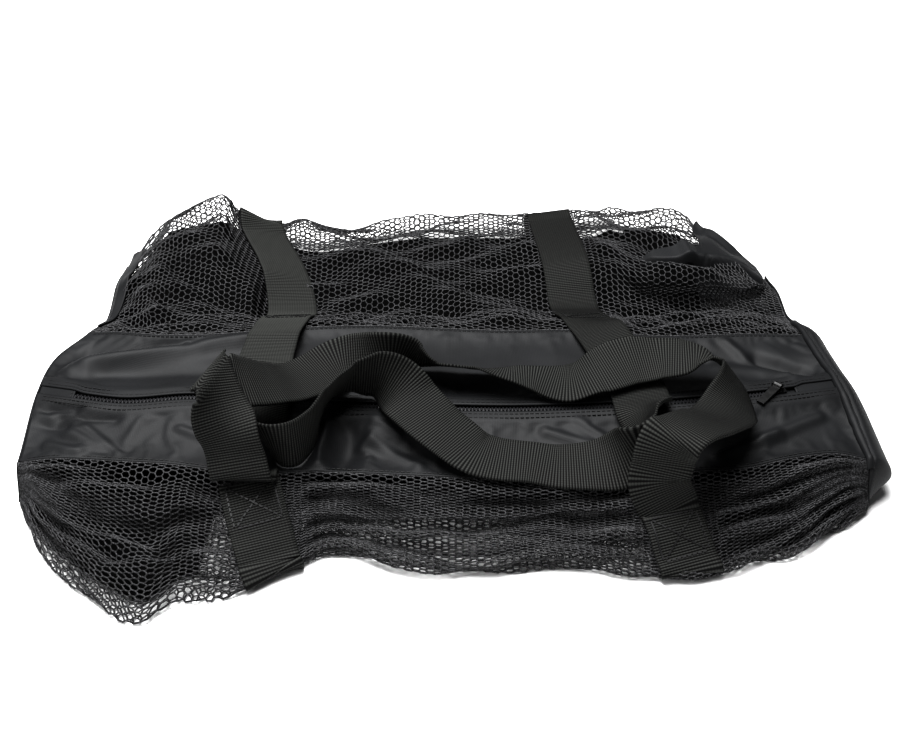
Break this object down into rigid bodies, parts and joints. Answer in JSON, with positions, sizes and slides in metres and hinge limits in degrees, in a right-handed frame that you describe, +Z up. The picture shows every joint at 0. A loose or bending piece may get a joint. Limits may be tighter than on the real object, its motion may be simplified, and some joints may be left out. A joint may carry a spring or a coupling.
{
  "type": "mesh duffel bag",
  "caption": "Limp duffel bag of nylon and hexagonal net, lying collapsed with its zip closed and two webbing handles tangled on top.",
  "frame": {"origin": "middle of the bag's outline, on the table it lies on", "axes": "+X along the bag from its left end to its right end, +Y from its front to its back, +Z up"},
  "size_m": [0.5768, 0.4786, 0.1065],
  "materials": {
    "nylon": "black nylon taffeta with a soft sheen",
    "net": "black knitted polyester net",
    "webbing": "black ribbed polypropylene webbing",
    "plastic": "black moulded zip teeth",
    "painted_zinc": "black painted zinc casting"
  },
  "bodies": {
    "bag": {"front_net_panel": "net", "back_net_panel": "net", "top_panel_front": "nylon", "top_panel_back": "nylon", "bottom_panel": "nylon", "end_panel_left": "nylon", "end_panel_right": "nylon", "front_strap": "webbing", "back_strap": "webbing", "zip_tape": "nylon", "zip_chain": "plastic", "zip_tab_left": "nylon", "zip_tab_right": "nylon", "zip_slider": "painted_zinc"},
    "pull": {"zip_pull": "painted_zinc"}
  },
  "joints": [
    {"name": "pull_swing", "type": "hinge", "parent": "bag", "child": "pull", "pos_m": [0.22073, -0.07086, 0.04836], "axis": [-0.7193, 0.6947, 0], "range_deg": [0, 150]}
  ]
}
